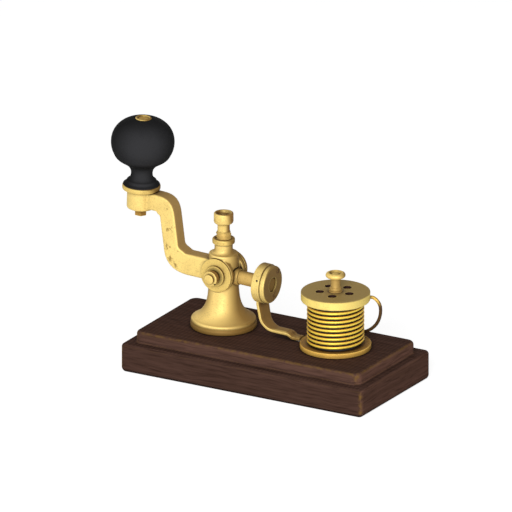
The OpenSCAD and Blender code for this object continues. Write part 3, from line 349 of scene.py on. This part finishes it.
def ebonite(name):
    """Hard black rubber, turned and handled: matt, with faint marks that make it uneven, and a painted
    highlight.
    """
    material, tree, out = new_material(name)
    spot = add(tree, "ShaderNodeTexCoord").outputs
    # Marks of handling, about 6 mm across, and the grain of a turned face, 0.7 mm
    marks = add(tree, "ShaderNodeTexNoise", {
        "Vector": spot["Object"], "Scale": 160.0, "Detail": 5.0, "Roughness": 0.6}).outputs["Fac"]
    grit = add(tree, "ShaderNodeTexNoise", {
        "Vector": spot["Object"], "Scale": 1500.0, "Detail": 2.0}).outputs["Fac"]
    mottle = add(tree, "ShaderNodeMath", {0: marks, 1: grit}, operation="ADD").outputs[0]
    patch = add(tree, "ShaderNodeMapRange", {
        "Value": mottle, "From Min": 0.7, "From Max": 1.3}).outputs["Result"]
    # A painted highlight on the faces that look along one way, toward the front and right, and on those that
    # look the opposite way
    facing = add(tree, "ShaderNodeVectorMath", {0: spot["Normal"], 1: (0.5, -0.84, 0.2)},
                 operation="DOT_PRODUCT").outputs["Value"]
    facing_either_way = add(tree, "ShaderNodeMath", {0: facing}, operation="ABSOLUTE").outputs[0]
    painted_highlight = add(tree, "ShaderNodeMapRange", {
        "Value": facing_either_way, "From Min": 0.35, "From Max": 1.0}).outputs["Result"]
    mottle_and_painted_highlight = add(tree, "ShaderNodeMath", {0: patch, 1: 0.25, 2: painted_highlight},
                operation="MULTIPLY_ADD").outputs[0]
    colour = add(tree, "ShaderNodeMix", {
        "Factor": mottle_and_painted_highlight, "A": linear("#1A1A1A"), "B": linear("#333335")}, data_type="RGBA")
    sheen = add(tree, "ShaderNodeMapRange", {
        "Value": marks, "From Min": 0.3, "From Max": 0.7, "To Min": 0.62, "To Max": 0.8})
    bump = add(tree, "ShaderNodeBump", {"Strength": 0.15, "Distance": 0.05 * MM, "Height": grit})
    surface = add(tree, "ShaderNodeBsdfPrincipled", {
        "Base Color": colour.outputs["Result"], "Roughness": sheen.outputs["Result"],
        "Specular IOR Level": 0.02, "Normal": bump.outputs["Normal"]})
    tree.links.new(surface.outputs["BSDF"], out.inputs["Surface"])
    return material


def plain_metal(name, clean, stained, rough):
    """Steel or iron of small fastenings, with uneven brown stains."""
    material, tree, out = new_material(name)
    place = add(tree, "ShaderNodeTexCoord").outputs["Object"]
    # Stains about 3 mm across
    patches = add(tree, "ShaderNodeTexNoise", {"Vector": place, "Scale": 300.0, "Detail": 4.0})
    shade = add(tree, "ShaderNodeMapRange", {
        "Value": patches.outputs["Fac"], "From Min": 0.4, "From Max": 0.7}).outputs["Result"]
    colour = add(tree, "ShaderNodeMix", {
        "Factor": shade, "A": linear(clean), "B": linear(stained)}, data_type="RGBA")
    surface = add(tree, "ShaderNodeBsdfPrincipled", {
        "Base Color": colour.outputs["Result"], "Metallic": 0.9, "Roughness": rough})
    tree.links.new(surface.outputs["BSDF"], out.inputs["Surface"])
    return material


# Each brass takes painted shade on the faces that look along lean and in its corners, and a painted
# highlight on its open edges
turned_brass = brass("turned_brass", "#FCDC84", "#8C6432", 0.5)
dull_brass = brass("dull_brass", "#B98E44", "#6E4E26", 0.6)
cast_brass = brass("cast_brass", "#FFE088", "#A88650", 0.55, pits=True, mark="#86642E", stains=[
    ((-64.4, -4.5, 75.0), 2.6), ((-65.1, -4.5, 64.3), 2.0), ((-63.6, -4.5, 57.0), 2.4),
    ((-60.0, -4.5, 54.2), 1.6), ((-59.0, -4.5, 62.6), 0.8), ((-65.6, -4.5, 86.0), 0.7)])
# The pillar also takes painted shade on its rear-left flank and towards its foot
pillar_brass = brass("pillar_brass", "#FFDE88", "#94723A", 0.55, turn=(-0.1, 0.75),
                     also=(-0.85, -0.45, 0.1), low=(27.4, 1.4, "#80602E"))
plate_brass = brass("plate_brass", "#ECCC76", "#8A6832", 0.55)
rod_brass = brass("rod_brass", "#D8B468", "#846634", 0.55)
# The tension screw's thread over the lock ring takes a painted shade
screw_brass = brass("tension_screw_brass", "#FCDC84", "#8C6432", 0.5, low=(78, 1, "#CCAA60"))
bolt_brass = brass("knob_bolt_brass", "#E8C070", "#C49E54", 0.55, reach=1)
# The disc also takes painted shade on the faces that look down
disc_brass = brass(
    "disc_brass", "#FCDC84", "#785A30", 0.5, keeps=0.92, also=(0.35, 0.2, -0.9), mark="#4E3018",
    stains=[((-1.3, 6.6, 58.4), 3.6), ((-1.3, 5.8, 59.4), 3.0), ((-1.2, 2.0, 45.0), 3.0),
            ((-5.0, -1.5, 63.2), 0.8)])
# The strap takes painted shade towards its foot
strap_brass = brass(
    "strap_brass", "#FCDC84", "#826030", 0.5, low=(26.8, 2.2, "#8E6E3A"), mark="#4A2E18",
    stains=[((15.2, -2.6, 25.4), 3.2), ((11.8, 0.8, 26.2), 2.4), ((15.8, 2.0, 24.9), 3.4),
            ((3.4, -1.0, 31.0), 2.2)])
# The terminal's shank, under its head, takes painted shade
terminal_brass = brass("terminal_brass", "#FFDC80", "#8A6A36", 0.55, lean=(0.4, 0.4, 0.2),
                       low=(63.6, 0.2, "#AE8E50"))
# The cap's top takes painted shade, and its holes deep painted shade
cap_brass = brass("cap_brass", "#FFE480", "#A08650", 0.55, lean=(0.1, 0, 0.9), reach=5, full=0.62,
                  corner_shade_colour="#382420")
# The screws sunk in the cap's holes are a darker brass, painted shade of the holes
sunk_brass = brass("sunk_screw_shaded_brass", "#C09A58", "#7A5C38", 0.6, reach=1, corner_shade_colour="#382420")
# The coil foot's top takes painted shade
foot_brass = brass("coil_foot_brass", "#FCC860", "#946E34", 0.5, lean=(0, 0, 1), turn=(0.5, 0.97))
# The wire's upper flanks take painted shade and the gaps between turns near-black painted shade, so that
# each turn's outer face stands as a painted highlight
wire_brass = brass("wire_brass", "#FFE85E", "#E8A83E", 0.42, lean=(0, 0, 0.9), keeps=0.9,
                   metallic=0.5, reach=2.2, full=0.5, corner_shade_colour="#20141A")
# The lead, up to where it nears the cap, is painted in dark shadow
lead_brass = brass("lead_brass", "#F6CC66", "#8C6430", 0.5, lean=(0.5, 0.5, 0.2),
                   low=(51, 4, "#30161A"))
# side sets the painted light on each board's upright faces
board_wood = walnut("oiled_walnut", side=0.4, rim=0.0)
top_wood = walnut("oiled_walnut_upper_board", side=0.6, rim=0.6)
black_ebonite = ebonite("black_ebonite")
old_steel = plain_metal("old_steel", "#8E8A80", "#6A5A44", 0.45)
dark_iron = plain_metal("dark_iron", "#4A4642", "#3A2E26", 0.6)

# The finish of each slot, and of nodes that differ from the rest of their slot
FINISH = {
    "walnut": board_wood,
    "polished_brass": turned_brass,
    "aged_brass": dull_brass,
    "steel": old_steel,
    "soft_iron": dark_iron,
    "ebonite": black_ebonite,
    "winding_wire": wire_brass,
}
OWN_FINISH = {
    "top_board": top_wood,
    "front_bearing_plate": plate_brass,
    "rear_bearing_plate": plate_brass,
    "lock_ring": plate_brass,
    "knob_ferrule": plate_brass,
    "knob_bolt": bolt_brass,
    "balance_rod": rod_brass,
    "rod_collar": rod_brass,
    "balance_disc": disc_brass,
    "coil_foot": foot_brass,
    "coil_cap": cap_brass,
    "cap_screw_set": sunk_brass,
    "terminal_washer": terminal_brass,
}


# Castings: the solid is meshed anew and eased, so that its corners fill as in a casting

def cast(node, finish, voxel, passes):
    """A node's solid as a casting, from voxels in millimetres and a number of easing passes."""
    bpy.ops.object.select_all(action="DESELECT")
    piece = bpy.data.objects.new(node + "_casting", frame["nodes"][node].data.copy())
    bpy.context.scene.collection.objects.link(piece)
    only(piece)
    bpy.ops.object.mode_set(mode="EDIT")
    bpy.ops.mesh.select_all(action="SELECT")
    bpy.ops.mesh.remove_doubles(threshold=0.001 * MM)
    bpy.ops.object.mode_set(mode="OBJECT")
    skin = piece.modifiers.new("skin", "REMESH")
    skin.mode = "VOXEL"
    skin.voxel_size = voxel * MM
    ease = piece.modifiers.new("ease", "SMOOTH")
    ease.factor = 0.5
    ease.iterations = passes
    apply_modifiers(piece)
    finish_piece(piece, finish, node, angle=60)


cast("lever_arm", cast_brass, voxel=0.4, passes=8)
cast("pillar", pillar_brass, voxel=0.4, passes=4)
cast("contact_strap", strap_brass, voxel=0.25, passes=3)


# Turned pieces: a disc is drawn out ring by ring along its outline, as on a lathe

def turn_on_lathe(name, outline, sides=72):
    """A piece about the Z axis from (radius, height) pairs, from its foot up."""
    bpy.ops.object.select_all(action="DESELECT")
    radius, height = outline[0]
    bpy.ops.mesh.primitive_circle_add(
        vertices=sides, radius=radius * MM, fill_type="NGON", location=(0, 0, 0))
    piece = bpy.context.object
    piece.name = name
    bpy.ops.object.mode_set(mode="EDIT")
    bpy.ops.mesh.select_all(action="SELECT")
    bpy.ops.transform.translate(value=(0, 0, height * MM))
    for next_radius, next_height in outline[1:]:
        rise = (0, 0, (next_height - height) * MM)
        bpy.ops.mesh.extrude_region_move(TRANSFORM_OT_translate={"value": rise})
        share = next_radius / radius
        bpy.ops.transform.resize(value=(share, share, 1), center_override=(0, 0, next_height * MM))
        radius, height = next_radius, next_height
    bpy.ops.mesh.select_all(action="SELECT")
    bpy.ops.mesh.normals_make_consistent(inside=False)
    bpy.ops.object.mode_set(mode="OBJECT")
    return piece


def thread_ridge(name, radius, low, high, pitch, ridge, steps=48):
    """The ridge of a screw thread about the Z axis: ridge is the radius of its round section,
    and a turn has so many steps."""
    bpy.ops.object.select_all(action="DESELECT")
    bpy.ops.mesh.primitive_circle_add(vertices=8, radius=ridge * MM, rotation=(math.radians(90), 0, 0))
    piece = bpy.context.object
    piece.name = name
    bpy.ops.object.mode_set(mode="EDIT")
    bpy.ops.mesh.select_all(action="SELECT")
    bpy.ops.transform.translate(value=(radius * MM, 0, 0))
    bpy.ops.object.mode_set(mode="OBJECT")
    bpy.ops.object.transform_apply(location=True, rotation=True, scale=True)
    turns = (high - low) / pitch
    wind = piece.modifiers.new("wind", "SCREW")
    wind.angle = turns * math.tau
    wind.screw_offset = turns * pitch * MM
    wind.steps = wind.render_steps = round(turns * steps)
    wind.use_merge_vertices = False
    apply_modifiers(piece)
    bpy.ops.object.mode_set(mode="EDIT")
    bpy.ops.mesh.select_all(action="SELECT")
    bpy.ops.transform.translate(value=(0, 0, low * MM))
    # Its two open ends are closed
    bpy.ops.mesh.select_all(action="DESELECT")
    bpy.ops.mesh.select_non_manifold(extend=False)
    bpy.ops.mesh.edge_face_add()
    bpy.ops.mesh.select_all(action="SELECT")
    bpy.ops.mesh.normals_make_consistent(inside=False)
    bpy.ops.object.mode_set(mode="OBJECT")
    return piece


# Tension screw: heights are over the pillar's top, and its thread shows over the lock ring
screw_core = turn_on_lathe("tension_screw_turned", [
    (3.6, -2.0), (3.8, -1.7), (3.8, 6.5), (3.65, 6.8), (3.4, 6.85), (3.4, 7.2), (3.36, 10.9),
    (3.4, 11.4), (4.2, 11.42), (4.75, 11.6), (5.2, 12.1), (5.4, 12.7), (5.4, 16.9), (5.33, 17.25),
    (5.12, 17.5), (4.8, 17.6), (4.3, 17.6), (4.1, 17.45), (4.02, 16.3), (3.8, 16.05), (1.75, 16.0),
    (1.5, 16.1), (1.3, 16.6), (0.3, 16.65)])
screw_thread = thread_ridge("thread", radius=3.82, low=1.2, high=6.4, pitch=1.8, ridge=0.4)
tension_screw = join([screw_core, screw_thread])
set_in_place(tension_screw, PILLAR_TOP)
finish_piece(tension_screw, screw_brass, "tension_screw")

# Terminal: a screw with a collar, a straight shank and a flared head with a dished top; heights
# are over the base's underside
terminal = turn_on_lathe("terminal_screw_turned", [
    (1.6, 41.65), (1.88, 41.95), (1.88, 56.23), (3.1, 56.25), (3.32, 56.45), (3.34, 57.6),
    (3.2, 57.95), (2.8, 58.1), (2.7, 58.3), (2.7, 63.45), (2.85, 63.58), (4.0, 63.62), (4.8, 63.82),
    (5.3, 64.3), (5.48, 64.95), (5.36, 65.6), (4.95, 66.12), (4.3, 66.44), (3.75, 66.5),
    (3.45, 66.38), (3.3, 65.6), (2.9, 65.25), (2.3, 65.25), (2.0, 65.7), (1.5, 65.85), (0.3, 65.9)])
set_in_place(terminal, UNDER_COIL)
finish_piece(terminal, terminal_brass, "terminal_screw")

# Knob: its foot has a bead and a step, and its waist flows into the round. Heights are over the
# pivot, along the lever's own upright, which tilts at rest. The last two points make the bore
knob = turn_on_lathe("knob_turned", [
    (10.1, 39.57), (10.15, 39.68), (10.05, 39.88), (9.7, 40.08), (9.2, 40.32), (8.75, 40.6),
    (8.45, 40.95), (8.32, 41.4), (8.25, 41.8), (8.05, 42.08), (7.7, 42.3), (7.3, 42.55),
    (6.95, 42.85), (6.6, 43.3), (6.3, 43.85), (6.1, 44.5), (5.97, 45.3), (5.92, 46.2), (5.98, 46.9),
    (6.14, 47.6), (6.38, 48.25), (6.7, 48.9), (7.1, 49.5), (7.6, 50.1), (8.2, 50.7), (8.9, 51.3),
    (9.7, 51.85), (10.55, 52.4), (11.45, 52.95), (12.35, 53.5), (13.22, 54.1), (13.98, 54.72),
    (14.62, 55.4), (15.12, 56.15), (15.55, 56.95), (15.95, 57.79), (16.32, 58.62), (16.66, 59.48),
    (16.93, 60.37), (17.14, 61.28), (17.3, 62.22), (17.39, 63.19), (17.42, 64.25), (17.38, 65.38),
    (17.26, 66.4), (17.07, 67.39), (16.8, 68.34), (16.48, 69.26), (16.08, 70.15), (15.62, 71.01),
    (15.08, 71.83), (14.48, 72.61), (13.8, 73.35), (13.05, 74.05), (12.26, 74.7), (11.4, 75.3),
    (10.46, 75.85), (9.45, 76.35), (8.38, 76.79), (7.27, 77.18), (6.13, 77.51), (4.95, 77.78),
    (4.6, 77.82), (4.58, 76.7), (2.25, 76.68), (2.25, 39.62)], sides=96)
set_in_place(knob, KNOB_PLACE, REST_TILT)
finish_piece(knob, black_ebonite, "knob")

knob_ring = turn_on_lathe("knob_ring_turned", [
    (4.35, 76.72), (4.5, 76.85), (4.55, 77.25), (4.53, 77.65), (4.38, 77.97), (4.1, 78.2),
    (3.75, 78.28), (3.42, 78.2), (3.2, 77.98), (3.06, 77.6), (2.97, 77.2), (2.95, 76.8)])
set_in_place(knob_ring, KNOB_PLACE, REST_TILT)
finish_piece(knob_ring, plate_brass, "knob_ring")


# Wire: the winding and its lead are one wire, bent along the points that the solids follow.
# Heights are over the upper board, on which the coil's foot stands

WIRE_R = 0.95
BOBBIN_R = 13.8
BOBBIN_GAP = 0.15
COIL_R = BOBBIN_R + BOBBIN_GAP + WIRE_R
LOW, PITCH, TURNS = 3.71, 2.48, 9
START = math.radians(120)
HELIX_STEP = 12
INWARD_BEND_R = 1.25
INWARD_END = 2.0
CAP_R, CAP_Z, CAP_THICK = 19.0, 27.63, 5
LEAD_IN_Z = CAP_Z + 0.3 * CAP_THICK
LEAD_IN_TURN = math.radians(30)
LEAD_IN_DEPTH = 3.9
LEAD_IN_SAG = 0.2


def outward(angle):
    return Vector((math.cos(angle), math.sin(angle), 0))


def across(angle):
    return Vector((-math.sin(angle), math.cos(angle), 0))


def up(height):
    return Vector((0, 0, height))


def bent_wire(name, points, radius, place):
    """A round wire through points about a place."""
    bpy.ops.object.select_all(action="DESELECT")
    bpy.ops.curve.primitive_bezier_curve_add(location=(0, 0, 0))
    piece = bpy.context.object
    piece.name = name
    line = piece.data
    line.splines.clear()
    spline = line.splines.new("NURBS")
    spline.points.add(len(points) - 1)
    for knot, point in zip(spline.points, points):
        knot.co = (*(point * MM), 1.0)
    spline.order_u = 3
    spline.use_endpoint_u = True
    spline.resolution_u = 2
    line.dimensions = "3D"
    line.bevel_depth = radius * MM
    line.bevel_resolution = 3
    line.use_fill_caps = True
    only(piece)
    bpy.ops.object.convert(target="MESH")
    piece = bpy.context.object
    set_in_place(piece, place)
    return piece


# The lower end runs out straight from the helix, and the upper one turns in through the bobbin
helix = [COIL_R * outward(START + math.radians(a)) + up(LOW + PITCH * a / 360)
         for a in range(0, 360 * TURNS + 1, HELIX_STEP)]
run_out = [helix[0] - s * across(START) for s in (3.8, 2.6, 1.9, 1.0)]
bend_middle = helix[-1] - INWARD_BEND_R * outward(START)
turn_in = [bend_middle + INWARD_BEND_R * (math.cos(b) * outward(START) + math.sin(b) * across(START))
           for b in (math.radians(30), math.radians(60), math.radians(90))]
turn_in.append(turn_in[-1] - INWARD_END * outward(START))
winding = bent_wire("winding_wire", run_out[2:] + helix + turn_in, WIRE_R, COIL_FOOT)
finish_piece(winding, wire_brass, "winding")

# The lead bows out beside the coil and goes into the cap's rim
bow = [(-1.2, 16.4, 3.8), (4, 17.2, 4.3), (8.7, 15.9, 5.5), (12.2, 14.6, 7.4), (15.5, 13.4, 9.7),
       (19.2, 12.4, 13.5), (21.4, 11.9, 18.5), (21.8, 11.6, 23.4), (20.7, 11.1, 26.6)]
lead_points = [run_out[2], run_out[1], run_out[0]] + [Vector(p) for p in bow] + [
    (CAP_R + 2 * WIRE_R) * outward(LEAD_IN_TURN) + up(LEAD_IN_Z - LEAD_IN_SAG),
    CAP_R * outward(LEAD_IN_TURN) + up(LEAD_IN_Z),
    (CAP_R - LEAD_IN_DEPTH) * outward(LEAD_IN_TURN) + up(LEAD_IN_Z)]
lead = bent_wire("lead_wire_bent", lead_points, WIRE_R, COIL_FOOT)
finish_piece(lead, lead_brass, "lead_wire")


# Return spring in the pillar's bore: its foot sits on the plunger. Heights are over the
# pillar's top

PLUNGER_TOP_Z = 63.3465
SPRING_R, SPRING_WIRE_R, SPRING_GAP = 3.33, 0.35, 0.01
SPRING_FOOT = PLUNGER_TOP_Z + SPRING_WIRE_R + SPRING_GAP - PILLAR_TOP_Z
SPRING_RISE = 3.9335
SPRING_ANGLE = 3 * 360

coils = [SPRING_R * outward(math.radians(a)) + up(SPRING_FOOT + SPRING_RISE * a / SPRING_ANGLE)
         for a in range(0, SPRING_ANGLE + 1, 15)]
spring = bent_wire("return_spring_wire", coils, SPRING_WIRE_R, PILLAR_TOP)
dress(spring, old_steel)
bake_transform(spring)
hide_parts("tension_spring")


# All other nodes keep their solids, with their finish

MODELLED = ("lever_arm", "pillar", "contact_strap", "tension_screw", "terminal_screw", "knob",
            "knob_ring", "winding", "lead_wire", "tension_spring")
for node_name, node in frame["nodes"].items():
    if node_name not in MODELLED:
        finish = OWN_FINISH.get(node_name, FINISH[SLOT[node_name]])
        if not node.material_slots:
            node.data.materials.append(finish)
        for material_slot in node.material_slots:
            material_slot.material = finish


# Camera, lamp, floor: angles in degrees, and lengths in metres where MM doesn't follow

CAMERA_AZIMUTH, CAMERA_ELEVATION = 30, 20
CAMERA_DISTANCE = 1.2
PICTURE_WIDTH = 0.2793
FLOOR_SIZE = 8
FLOOR_GAP = 0.02 * MM
WORLD_LIGHT = 0.22
PAPER_LIGHT, PAPER_GLOW = 0.6, 0.8


def direction(azimuth, elevation):
    """The way from the object to a camera or lamp at angles in degrees."""
    azimuth, elevation = math.radians(azimuth), math.radians(elevation)
    return Vector((math.sin(azimuth) * math.cos(elevation), -math.cos(azimuth) * math.cos(elevation),
                   math.sin(elevation)))


BACK = direction(CAMERA_AZIMUTH, CAMERA_ELEVATION)
RIGHT = outward(math.radians(CAMERA_AZIMUTH))
UP = BACK.cross(RIGHT)
PICTURE_LEFT, PICTURE_UP = 10.5, 64.9
MIDDLE = RIGHT * -PICTURE_LEFT * MM + UP * PICTURE_UP * MM

camera_data = bpy.data.cameras.new("camera")
camera_data.type = "ORTHO"
camera_data.ortho_scale = PICTURE_WIDTH
camera_data.clip_end = 20
camera = bpy.data.objects.new("camera", camera_data)
camera_turn = Matrix((RIGHT, UP, BACK)).transposed().to_4x4()
camera.matrix_world = Matrix.Translation(MIDDLE + BACK * CAMERA_DISTANCE) @ camera_turn
bpy.context.scene.collection.objects.link(camera)
bpy.context.scene.camera = camera


def lamp(name, azimuth, elevation, distance, size, power):
    """A square soft lamp that looks at the middle of the picture, with its power in watts."""
    toward = direction(azimuth, elevation)
    data = bpy.data.lights.new(name, "AREA")
    data.size = size
    data.energy = power
    made = bpy.data.objects.new(name, data)
    lamp_turn = toward.to_track_quat("Z", "Y").to_matrix().to_4x4()
    made.matrix_world = Matrix.Translation(MIDDLE + toward * distance) @ lamp_turn
    bpy.context.scene.collection.objects.link(made)


lamp("front_lamp", azimuth=23, elevation=18, distance=1.5, size=0.8, power=21.5)

# White all round, which lights the object less than it shows
world = bpy.data.worlds.new("studio")
bpy.context.scene.world = world
world.use_nodes = True
sky = world.node_tree
sky.nodes.clear()
strength = add(sky, "ShaderNodeMapRange", {
    "Value": seen_itself(sky), "To Min": WORLD_LIGHT, "To Max": 1.0})
backdrop = add(sky, "ShaderNodeBackground", {
    "Color": (1, 1, 1, 1), "Strength": strength.outputs["Result"]})
add(sky, "ShaderNodeOutputWorld", {"Surface": backdrop.outputs["Background"]})

# White paper that takes a shadow, with a glow that only shows and doesn't light the object
bpy.ops.object.select_all(action="DESELECT")
bpy.ops.mesh.primitive_plane_add(size=FLOOR_SIZE, location=(0, 0, -FLOOR_GAP))
floor = bpy.context.object
floor.name = "studio_floor"
paper, paper_tree, paper_out = new_material("white_paper_floor")
paper_white = add(paper_tree, "ShaderNodeMath", {0: seen_itself(paper_tree), 1: PAPER_GLOW},
                  operation="MULTIPLY")
glow = add(paper_tree, "ShaderNodeEmission", {
    "Color": (1, 1, 1, 1), "Strength": paper_white.outputs[0]})
face = add(paper_tree, "ShaderNodeBsdfDiffuse", {
    "Color": (PAPER_LIGHT, PAPER_LIGHT, PAPER_LIGHT, 1)})
both = add(paper_tree, "ShaderNodeAddShader", {0: glow.outputs[0], 1: face.outputs[0]})
paper_tree.links.new(both.outputs[0], paper_out.inputs["Surface"])
floor.data.materials.append(paper)

bpy.context.scene.view_settings.view_transform = "Standard"
